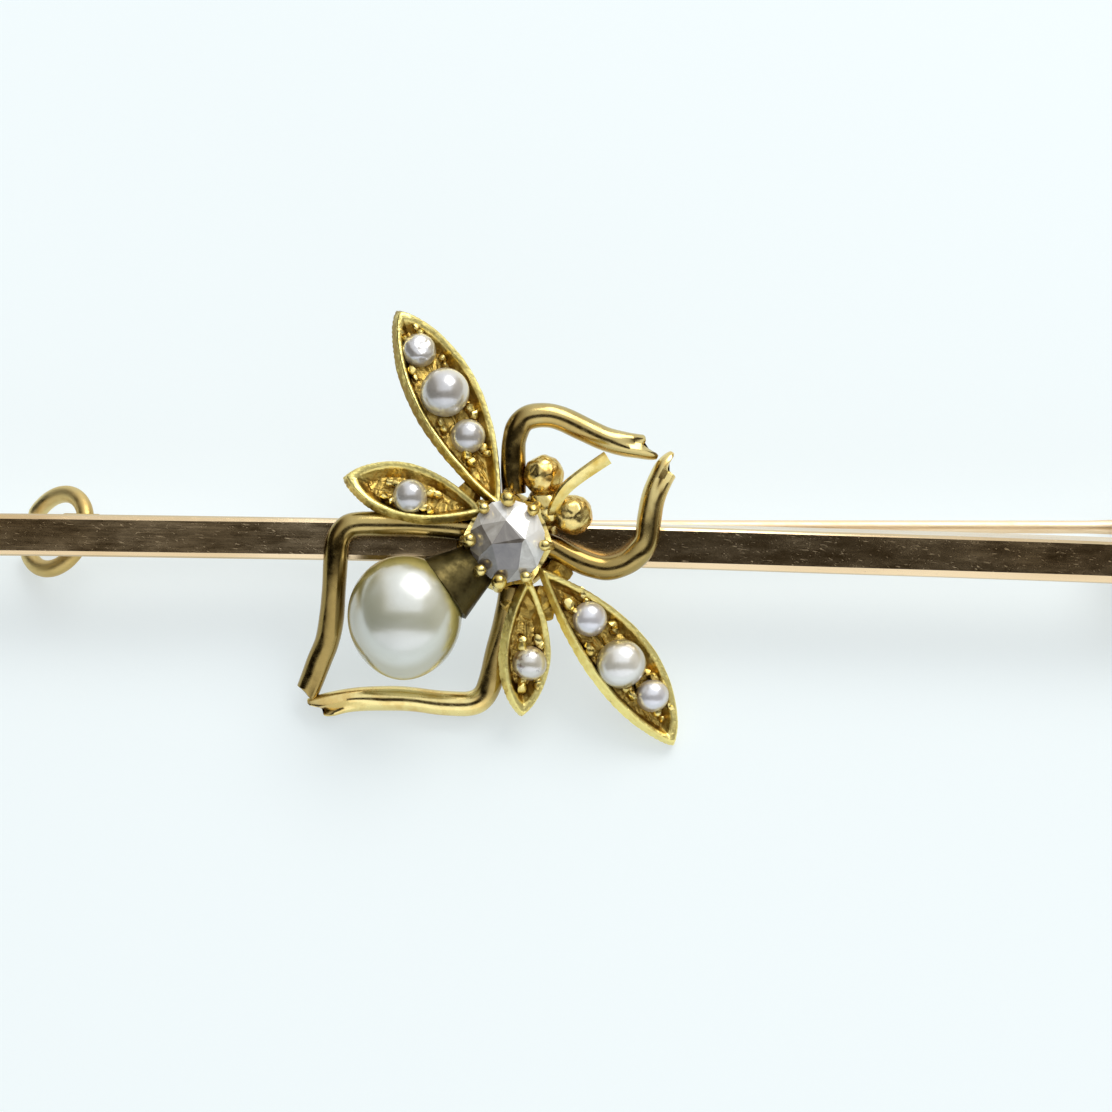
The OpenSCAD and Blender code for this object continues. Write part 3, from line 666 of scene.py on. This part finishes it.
bm = bmesh.new()
lump = bmesh.ops.create_icosphere(bm, subdivisions=4, radius=head["r"])["verts"]
bmesh.ops.translate(bm, vec=head["centre"], verts=lump)
for v in lump:
    v.co += jitter(v.co, 2.2, 0.08)
placePiece(bm, "headBall", engravedGold, *insectGold, sharp=60)

for number, place in enumerate(head["eyes"], 1):
    bm = bmesh.new()
    bmesh.ops.create_icosphere(bm, subdivisions=5, radius=head["eyeR"])
    for v in bm.verts:
        v.co += jitter(v.co + Vector(place), 2.6, 0.05) + jitter(v.co, 6.0, 0.02)
    bmesh.ops.translate(bm, vec=place, verts=bm.verts)
    placePiece(bm, "eyeBall%d" % number, hammeredGold, *insectGold, sharp=60)

bm = bmesh.new()


def squareSection(ring, centre, side, rise, way, left, wide, high):
    # pushes a round section out towards a flat strip's square one
    for v in ring:
        out = v.co - centre
        across, up = out.dot(side) / wide, out.dot(rise) / high
        most = max(abs(across), abs(up), 0.01) ** 0.5
        v.co = centre + side * wide * across / most + rise * high * up / most


sweepWire(bm, smoothRoute(head["feeler"], 5),
          lambda t: (head["feelerHalf"][0] * (0.8 + 0.3 * t), head["feelerHalf"][1]),
          16, squareSection, head["feelerRoll"])
placePiece(bm, "feelerStrip", polishedGold, *insectGold, sharp=40)
print("head made")


# Abdomen: a pearl in a small gold cone, on a peg
abdomen = {"centre": (-3.81, -2.92, 1.95), "root": (-0.9, -0.69, 1.6), "r": 2.15, "half": 2.34,
           "taper": 0.05, "rim": 1.4, "foot": 0.8, "cup": 1.84}
pearlWay = Vector(abdomen["centre"]) - Vector(abdomen["root"])

bm = bmesh.new()
bmesh.ops.create_uvsphere(bm, u_segments=96, v_segments=48, radius=1)
for v in bm.verts:
    taper = 1 + abdomen["taper"] * v.co.z
    v.co = (v.co.x * abdomen["r"] * taper, v.co.y * abdomen["r"] * taper, v.co.z * abdomen["half"])
    v.co += jitter(v.co, 0.5, 0.03)
bmesh.ops.transform(bm, matrix=turned("X", -90), verts=bm.verts)
shareOut(bm)
bmesh.ops.translate(bm, vec=abdomen["centre"], verts=bm.verts)
placePiece(bm, "abdomenPearl", creamNacre, "pearl", ["abdomen_pearl"], sharp=60)

bm = bmesh.new()
rings = []
reach = pearlWay.length
rim, cup = abdomen["rim"], -abdomen["cup"]
for radius, along in ((abdomen["foot"], -reach), (1.0, -reach + 0.7), (rim, cup), (rim - 0.06, cup + 0.05),
                      (rim - 0.2, cup - 0.02), (0.7, cup - 0.36)):
    ring = bmesh.ops.create_circle(bm, segments=64, radius=radius)["verts"]
    bmesh.ops.translate(bm, vec=(0, 0, along), verts=ring)
    rings.append(ring)
bridgeRings(bm, rings)
for v in bm.verts:
    v.co += jitter(v.co, 1.8, 0.035)
bmesh.ops.transform(bm, matrix=moved(*abdomen["centre"]) @ aimed(pearlWay), verts=bm.verts)
# the cup's dark gold is painted shade
placePiece(bm, "pearlCup", shadedGold, *insectGold, sharp=45)
print("abdomen made")


# Legs: bent wire, grooved and cloven at the tips
# tips: the side of the long prong, where the groove lies across the wire, and how much of it there is
# deep: the groove's depth; dull: how much painted shade darkens a leg all over, where it runs upright, and
# at its root
leg = {"r": 0.464, "sides": 24, "steps": 8, "uneven": 0.05, "groove": 0.4, "grooveShare": 0.26,
       "notch": 0.6, "notchShare": 0.1, "thin": 0.3,
       "tips": {"legFrontUpper": (-1, -0.2, 1.0), "legFrontLower": (1, -0.2, 1.0),
                "legHindUpper": (1, 0.2, 0.35), "legHindLower": (-1, -0.5, 0.8)},
       "deep": {"legFrontUpper": 1.0, "legFrontLower": 1.0, "legHindUpper": 1.0, "legHindLower": 1.3},
       "dull": {"legFrontUpper": (0.6, 0.35, 0.2), "legFrontLower": (0.3, 0.15, 1.0),
                "legHindUpper": (0.6, 0.3, 0.2), "legHindLower": (0.0, 0.75, 0.3)}}
legRoutes = {
    "legFrontUpper": [(0.18, 1.9, 1.4), (0.15, 3.33, 1.65), (0.18, 3.9, 1.75), (0.34, 4.42, 1.8),
                      (0.69, 4.73, 1.8), (1.3, 4.82, 1.8), (1.95, 4.7, 1.75), (2.83, 4.3, 1.6),
                      (3.6, 3.98, 1.5), (4.36, 3.8, 1.4), (5.0, 3.72, 1.3), (5.59, 3.62, 1.2)],
    "legFrontLower": [(1.2, 0.0, 1.35), (1.79, -0.17, 1.4), (2.44, -0.5, 1.45), (3.13, -0.79, 1.5),
                      (3.78, -0.89, 1.5), (4.46, -0.68, 1.5), (4.95, -0.29, 1.5), (5.24, 0.21, 1.45),
                      (5.32, 0.97, 1.4), (5.44, 1.74, 1.35), (5.65, 2.35, 1.3), (5.94, 2.93, 1.2),
                      (6.31, 3.31, 1.1)],
    "legHindUpper": [(-1.3, 0.45, 1.35), (-2.03, 0.51, 1.4), (-3.36, 0.59, 1.4), (-4.69, 0.6, 1.4),
                     (-5.62, 0.57, 1.4), (-6.09, 0.4, 1.4), (-6.4, -0.05, 1.38), (-6.48, -0.81, 1.32),
                     (-6.53, -1.95, 1.05), (-6.6, -2.9, 0.75), (-6.77, -3.86, 0.45), (-7.05, -4.62, 0.25),
                     (-7.33, -5.39, 0.1), (-7.56, -5.95, 0.03)],
    "legHindLower": [(0.2, -1.6, 1.35), (0.12, -2.18, 1.2), (-0.05, -3.14, 0.9), (-0.32, -4.28, 0.6),
                     (-0.53, -5.24, 0.35), (-0.8, -5.86, 0.22), (-1.31, -6.14, 0.15), (-2.26, -6.15, 0.12),
                     (-3.4, -6.04, 0.12), (-4.73, -6.02, 0.12), (-5.87, -6.12, 0.1), (-6.63, -6.3, 0.08),
                     (-7.4, -6.47, 0.05)],
}


def cloveTip(longSide, grooveAt, amount, depth, dullLayer, dull, dullUpright, dullRoot):
    # a V groove that deepens towards the end, between a long rounded prong and a short blunt one
    def shape(ring, centre, side, rise, way, left, wide, high):
        deep = amount * max(0.0, 1 - left / leg["grooveShare"]) ** 1.2
        back = amount * max(0.0, 1 - left / leg["notchShare"])
        for v in ring:
            # painted shade and painted reflection: darker where the wire runs upright and near its root
            v[dullLayer] = min(1.0, dull + dullUpright * abs(way.y) ** 2 + dullRoot * left ** 1.3)
            out = v.co - centre
            across, up = longSide * out.dot(side) / wide, out.dot(rise) / high
            if up > -0.3:
                v.co -= rise * leg["groove"] * depth * deep * max(0.0, 1 - abs(across - grooveAt) / 0.5)
            shorter = min(max((0.35 - across) / 0.6, 0.0), 1.0)
            v.co -= way * leg["notch"] * back * shorter
            v.co -= (rise * high * up + longSide * side * wide * (across - 0.3)) * leg["thin"] * back ** 2
    return shape


def unevenHalf(number):
    # the wire's radius varies a little along each leg, in each in its own way
    def halfAt(t):
        radius = leg["r"] * (1 + leg["uneven"] * noise.noise(Vector((9 * t, number * 5, 0))))
        return radius, radius
    return halfAt


for number, (name, points) in enumerate(legRoutes.items()):
    bm = bmesh.new()
    dullLayer = bm.verts.layers.float.new("tarnish")
    sweepWire(bm, smoothRoute(points, leg["steps"]), unevenHalf(number), leg["sides"],
              cloveTip(*leg["tips"][name], leg["deep"][name], dullLayer, *leg["dull"][name]))
    for v in bm.verts:
        v.co += jitter(v.co, 0.9, 0.02)
    placePiece(bm, name, legGold, *insectGold, sharp=40)
print("legs made")


# Pin: an eye on the rivet, and a stem with a tapered root and a sharp point
pin = {"hinge": (24.5, 1.0, -3.15), "tilt": 20.0, "eyeR": 0.75, "eyeHalf": 0.62, "eyeRim": 0.06,
       "hole": 0.38, "offset": 0.15, "atCatch": (-17.4, 0.25, -2.4), "past": 2.6, "rootFrom": 0.56,
       "rootR": 0.31, "rootLength": 2.2, "r": 0.25, "straight": 35.0, "rings": 12, "tipR": 0.2,
       "pointLength": 2.2, "pointR": 0.075, "pointFrom": 0.93}
rivetWay = Vector((0, math.cos(math.radians(pin["tilt"])), -math.sin(math.radians(pin["tilt"]))))
hingeFrame = moved(*pin["hinge"]) @ turned("X", -90 - pin["tilt"]) @ turned("Z", 90)
stemRoot = Vector(pin["hinge"]) + rivetWay * pin["offset"]
stemWay = Vector(pin["atCatch"]) - stemRoot


def spinProfile(bm, profile, steps):
    # turns a profile of (radius, height) round the Z axis
    verts = [bm.verts.new((r, 0, z)) for r, z in profile]
    edges = [bm.edges.new(pair) for pair in zip(verts, verts[1:])]
    bmesh.ops.spin(bm, geom=verts + edges, cent=(0, 0, 0), axis=(0, 0, 1), angle=2 * math.pi, steps=steps,
                   use_merge=True)
    bmesh.ops.remove_doubles(bm, verts=bm.verts, dist=weldMm)
    return bm.verts


bm = bmesh.new()
shaft = stemWay.length + pin["past"] - pin["pointLength"]
profile = [(0, pin["rootFrom"]), (pin["rootR"], pin["rootFrom"]), (pin["r"], pin["rootLength"])]
for k in range(pin["rings"]):
    profile.append((pin["r"], pin["rootLength"] + pin["straight"] * (k + 1) / pin["rings"]))
profile += [(pin["tipR"], shaft), (pin["pointR"], shaft + pin["pointLength"] * pin["pointFrom"]),
            (0, shaft + pin["pointLength"])]
spinProfile(bm, profile, 32)
bmesh.ops.transform(bm, matrix=moved(*stemRoot) @ aimed(stemWay), verts=bm.verts)
eye = bmesh.new()
half, rim = pin["eyeHalf"], pin["eyeRim"]
spinProfile(eye, [(pin["hole"], -half), (pin["eyeR"] - rim, -half), (pin["eyeR"], -half + rim),
                  (pin["eyeR"], half - rim), (pin["eyeR"] - rim, half), (pin["hole"], half),
                  (pin["hole"], -half)], 48)
bmesh.ops.transform(eye, matrix=hingeFrame, verts=eye.verts)
eyeMesh = bpy.data.meshes.new("pinEyeDraft")
eye.to_mesh(eyeMesh)
eye.free()
bm.from_mesh(eyeMesh)
bpy.data.meshes.remove(eyeMesh)
placePiece(bm, "pinStem", pinRoseGold, "rose_gold", ["pin_stem"], body="pin", sharp=40)
print("pin made")


# Catch: an open ring of wire on a small block, soldered to the bar's back
catch = {"centre": (-17.4, 0.05, -2.52), "ringR": 1.52, "wireR": 0.33, "turn": 46.0, "leanOver": 26.0,
         "mouthMiddle": -25.0, "mouthHalf": 24.0, "endThin": 0.35, "endShare": 0.03, "foot": 1.5,
         "bevel": 0.12, "intoBar": 0.01, "steps": 72}


def addBlock(bm, low, high, bevel, frameOf=Matrix()):
    # a softened block between two corners, in its own frame
    size = Vector(high) - Vector(low)
    verts = bmesh.ops.create_cube(bm, size=1)["verts"]
    bmesh.ops.scale(bm, vec=size, verts=verts)
    bmesh.ops.translate(bm, vec=(Vector(low) + Vector(high)) / 2, verts=verts)
    bmesh.ops.transform(bm, matrix=frameOf, verts=verts)
    edges = list({e for v in verts for e in v.link_edges})
    bmesh.ops.bevel(bm, geom=edges, offset=bevel, offset_type="OFFSET", affect="EDGES", segments=2,
                    profile=0.5, material=-1)


def catchHalf(t):
    # the wire's two ends are rounded off over a short share of its length
    nearEnd = max(0.0, 1 - min(t, 1 - t) / catch["endShare"])
    radius = catch["wireR"] * (1 - catch["endThin"] * nearEnd ** 2)
    return radius, radius


bm = bmesh.new()
sweep = 360 - 2 * catch["mouthHalf"]
route = []
for k in range(catch["steps"] + 1):
    turn = math.radians(sweep * k / catch["steps"])
    route.append(Vector((catch["ringR"] * math.cos(turn), catch["ringR"] * math.sin(turn), 0)))
sweepWire(bm, route, catchHalf, 24)
ringFrame = (moved(*catch["centre"]) @ turned("Z", -catch["leanOver"]) @ turned("Y", 90 + catch["turn"])
             @ turned("Z", catch["mouthMiddle"] + catch["mouthHalf"]))
bmesh.ops.transform(bm, matrix=ringFrame, verts=bm.verts)
turn = math.radians(catch["turn"])
footAt = catch["centre"][0] + catch["ringR"] * math.sin(turn)
half = catch["foot"] / 2
addBlock(bm, (footAt - half, -half, catch["centre"][2] + catch["ringR"] * math.cos(turn)),
         (footAt + half, half, -bar["side"] / 2 + catch["intoBar"]), catch["bevel"])
placePiece(bm, "catchRing", catchGold, "yellow_gold", ["catch_hook"], sharp=50)
print("catch made")


# Hinge: a two-eared bracket on a block, and the rivet through its ears, with domed heads
hinge = {"foot": (2.0, 1.35, 0.8), "footRise": 0.07, "ear": (1.0, 0.42), "earOuter": 1.09, "earSteps": 24,
         "wall": (-1.7, -1.15), "bevel": 0.07, "earBevel": 0.049, "rivetR": 0.35, "headR": 0.55,
         "headHigh": 0.2, "headGap": 0.02, "intoBar": 0.01}

bm = bmesh.new()
wide, tall, thick = hinge["foot"]
back = -bar["side"] / 2 + hinge["intoBar"]
addBlock(bm, (pin["hinge"][0] - wide / 2, hinge["footRise"] - tall / 2, back - thick),
         (pin["hinge"][0] + wide / 2, hinge["footRise"] + tall / 2, back), hinge["bevel"])
earR, earThick = hinge["ear"]
addBlock(bm, (hinge["wall"][0], -earR, -hinge["earOuter"]), (hinge["wall"][1], earR, hinge["earOuter"]),
         hinge["bevel"], hingeFrame)
for low in (-hinge["earOuter"], hinge["earOuter"] - earThick):
    outline = [(hinge["wall"][0], earR), (hinge["wall"][0], -earR)]
    for k in range(hinge["earSteps"] + 1):
        turn = math.radians(180 * k / hinge["earSteps"] - 90)
        outline.append((earR * math.cos(turn), earR * math.sin(turn)))
    face = bm.faces.new([bm.verts.new((x, y, low)) for x, y in outline])
    raised = bmesh.ops.extrude_face_region(bm, geom=[face])["geom"]
    verts = [v for v in raised if isinstance(v, bmesh.types.BMVert)]
    bmesh.ops.translate(bm, vec=(0, 0, earThick), verts=verts)
    verts += list(face.verts)
    rims = [e for f in [face] + [f for f in raised if isinstance(f, bmesh.types.BMFace)] for e in f.edges]
    bmesh.ops.transform(bm, matrix=hingeFrame, verts=verts)
    bmesh.ops.bevel(bm, geom=rims, offset=hinge["earBevel"], offset_type="OFFSET", affect="EDGES",
                    segments=2, profile=0.5, material=-1)
placePiece(bm, "hingeBracket", drawnRoseGold, "rose_gold", ["hinge_bracket"], sharp=50)

bm = bmesh.new()
high = hinge["earOuter"] + hinge["headGap"]
dome = [(0.0, 1.0), (0.5, 0.92), (0.82, 0.66), (0.97, 0.3), (1.0, 0.0)]
profile = [(r * hinge["headR"], -high - z * hinge["headHigh"]) for r, z in dome]
profile += [(hinge["rivetR"], -high), (hinge["rivetR"], high)]
profile += [(r * hinge["headR"], high + z * hinge["headHigh"]) for r, z in reversed(dome)]
spinProfile(bm, profile, 40)
bmesh.ops.transform(bm, matrix=hingeFrame, verts=bm.verts)
placePiece(bm, "hingeRivet", drawnRoseGold, "rose_gold", ["hinge_rivet"], sharp=40)
print("hinge made")


# Stage: floor, camera, sky and window
# the sheet's light from beneath fades to underFar of itself between the two distances of underEdge
sheet = {"size": 1.5, "shade": "#9da4a5", "light": "#a0a7a8", "mottle": 60.0, "glow": "#f5fdff",
         "under": 0.59, "underFar": 0.55, "underEdge": (0.07, 0.3)}

bm = bmesh.new()
bmesh.ops.create_grid(bm, x_segments=1, y_segments=1, size=sheet["size"])
mesh = bpy.data.meshes.new("floorSheet")
bm.to_mesh(mesh)
bm.free()
floor = bpy.data.objects.new("floorSheet", mesh)
bpy.context.scene.collection.objects.link(floor)
# white acrylic, lit from beneath so that shadows stay pale
floorSheet, tree, shader, place = startMaterial("whiteAcrylicSheet")
tint = addNode(tree, "ShaderNodeValToRGB", {"stops": [(0.3, sheet["shade"]), (0.7, sheet["light"])]},
               {"Fac": mottle(tree, place, sheet["mottle"], 2)})
away = addNode(tree, "ShaderNodeVectorMath", {"operation": "LENGTH"}, {0: place}).outputs["Value"]
glow = addNode(tree, "ShaderNodeMapRange", {
    "From Min": sheet["underEdge"][0], "From Max": sheet["underEdge"][1], "To Min": sheet["under"],
    "To Max": sheet["under"] * sheet["underFar"], "interpolation_type": "SMOOTHSTEP"}, {0: away})
finishShader(tree, shader, {"Roughness": 0.85, "Specular IOR Level": 0.2,
                            "Emission Color": toLinear(sheet["glow"])},
             {"Base Color": tint, "Emission Strength": glow})
mesh.materials.append(floorSheet)

view = {"aim": (1.835, -0.473, 0.0), "distance": 200.0, "lens": 170.4, "turn": 1.26}
cameraFrame = layDown @ moved(*view["aim"]) @ turned("Z", view["turn"]) @ moved(0, 0, view["distance"])
cameraData = bpy.data.cameras.new("photoCamera")
cameraData.lens = view["lens"]
cameraData.sensor_width = 36
cameraData.clip_start = 0.01
camera = bpy.data.objects.new("photoCamera", cameraData)
bpy.context.scene.collection.objects.link(camera)
place, turn, size = cameraFrame.decompose()
camera.matrix_world = Matrix.Translation(place) @ turn.to_matrix().to_4x4()
bpy.context.scene.camera = camera

# a dim warm room, with a pale panel overhead, a white card below the camera and darkness behind it;
# each pair is two angles in degrees off the way given to skyShare: where a light starts and where it is full
sky = {"side": 0.34, "dark": 0.042, "darkHigh": (70.0, 78.0), "darkWide": (75.0, 45.0), "darkDrop": 10.0,
       "overhead": 0.8, "overheadEdge": (89.0, 79.0), "overheadWide": (40.0, 62.0),
       "card": 1.05, "cardEdge": (70.0, 60.0), "left": 0.12, "leftEdge": (88.0, 50.0),
       "warm": "#d6bf94", "cool": "#f4f8ff"}

world = bpy.data.worlds.new("paleStudio")
bpy.context.scene.world = world
world.use_nodes = True
tree = world.node_tree
gaze = addNode(tree, "ShaderNodeTexCoord").outputs["Generated"]
standing = lean.to_3x3()


def skyShare(towards, edge, atEdge, atCore, bothWays=False):
    # runs softly from one value to another as the sky's direction nears that way, or also its opposite
    towards = standing @ Vector(towards)
    facing = addNode(tree, "ShaderNodeVectorMath", {"operation": "DOT_PRODUCT", 1: towards},
                     {0: gaze}).outputs["Value"]
    if bothWays:
        facing = addNode(tree, "ShaderNodeMath", {"operation": "ABSOLUTE"}, {0: facing})
    outer, inner = (math.cos(math.radians(a)) for a in edge)
    return addNode(tree, "ShaderNodeMapRange", {"From Min": outer, "From Max": inner, "To Min": atEdge,
                                                "To Max": atCore, "interpolation_type": "SMOOTHSTEP"},
                   {0: facing})


drop = math.radians(sky["darkDrop"])
darkWide = skyShare((0, -math.sin(drop), math.cos(drop)), sky["darkWide"], 0.0, 1.0)
darkHigh = skyShare((0, math.cos(drop), math.sin(drop)), sky["darkHigh"], 0.0, 1.0, True)
darkness = addNode(tree, "ShaderNodeMath", {"operation": "MULTIPLY"}, {0: darkWide, 1: darkHigh})
room = addNode(tree, "ShaderNodeMapRange", {"To Min": sky["side"], "To Max": sky["dark"]}, {0: darkness})
room = addNode(tree, "ShaderNodeMath", {"operation": "MULTIPLY"},
               {0: room, 1: skyShare((-1, 0, 0.1), sky["leftEdge"], 1.0, sky["left"])})
panel = addNode(tree, "ShaderNodeMath", {"operation": "MULTIPLY"},
                {0: skyShare((0, 1, 0), sky["overheadEdge"], 0.0, sky["overhead"]),
                 1: skyShare((1, 0, 0), sky["overheadWide"], 0.0, 1.0, True)})
strength = addNode(tree, "ShaderNodeMath", {"operation": "ADD"}, {0: room, 1: panel})
strength = addNode(tree, "ShaderNodeMath", {"operation": "ADD"},
                   {0: strength, 1: skyShare((0, -1, 0), sky["cardEdge"], 0.0, sky["card"])})
tone = addNode(tree, "ShaderNodeMix", {"data_type": "RGBA", 6: toLinear(sky["warm"]),
                                       7: toLinear(sky["cool"])}, {0: strength}).outputs[2]
finishShader(tree, tree.nodes["Background"], {}, {"Color": tone, "Strength": strength})

window = {"from": (0.34, 0.82, 0.46), "distance": 0.35, "width": 0.25, "height": 0.22, "power": 0.75,
          "colour": "#fffcf6"}
lamp = bpy.data.lights.new("windowLight", "AREA")
lamp.shape = "RECTANGLE"
lamp.size = window["width"]
lamp.size_y = window["height"]
lamp.energy = window["power"]
lamp.color = toLinear(window["colour"])[:3]
windowLight = bpy.data.objects.new("windowLight", lamp)
way = (standing @ Vector(window["from"])).normalized()
windowLight.matrix_world = Matrix.Translation(way * window["distance"]) @ aimed(way)
bpy.context.scene.collection.objects.link(windowLight)

bpy.context.scene.view_settings.view_transform = "Standard"
print("stage made")
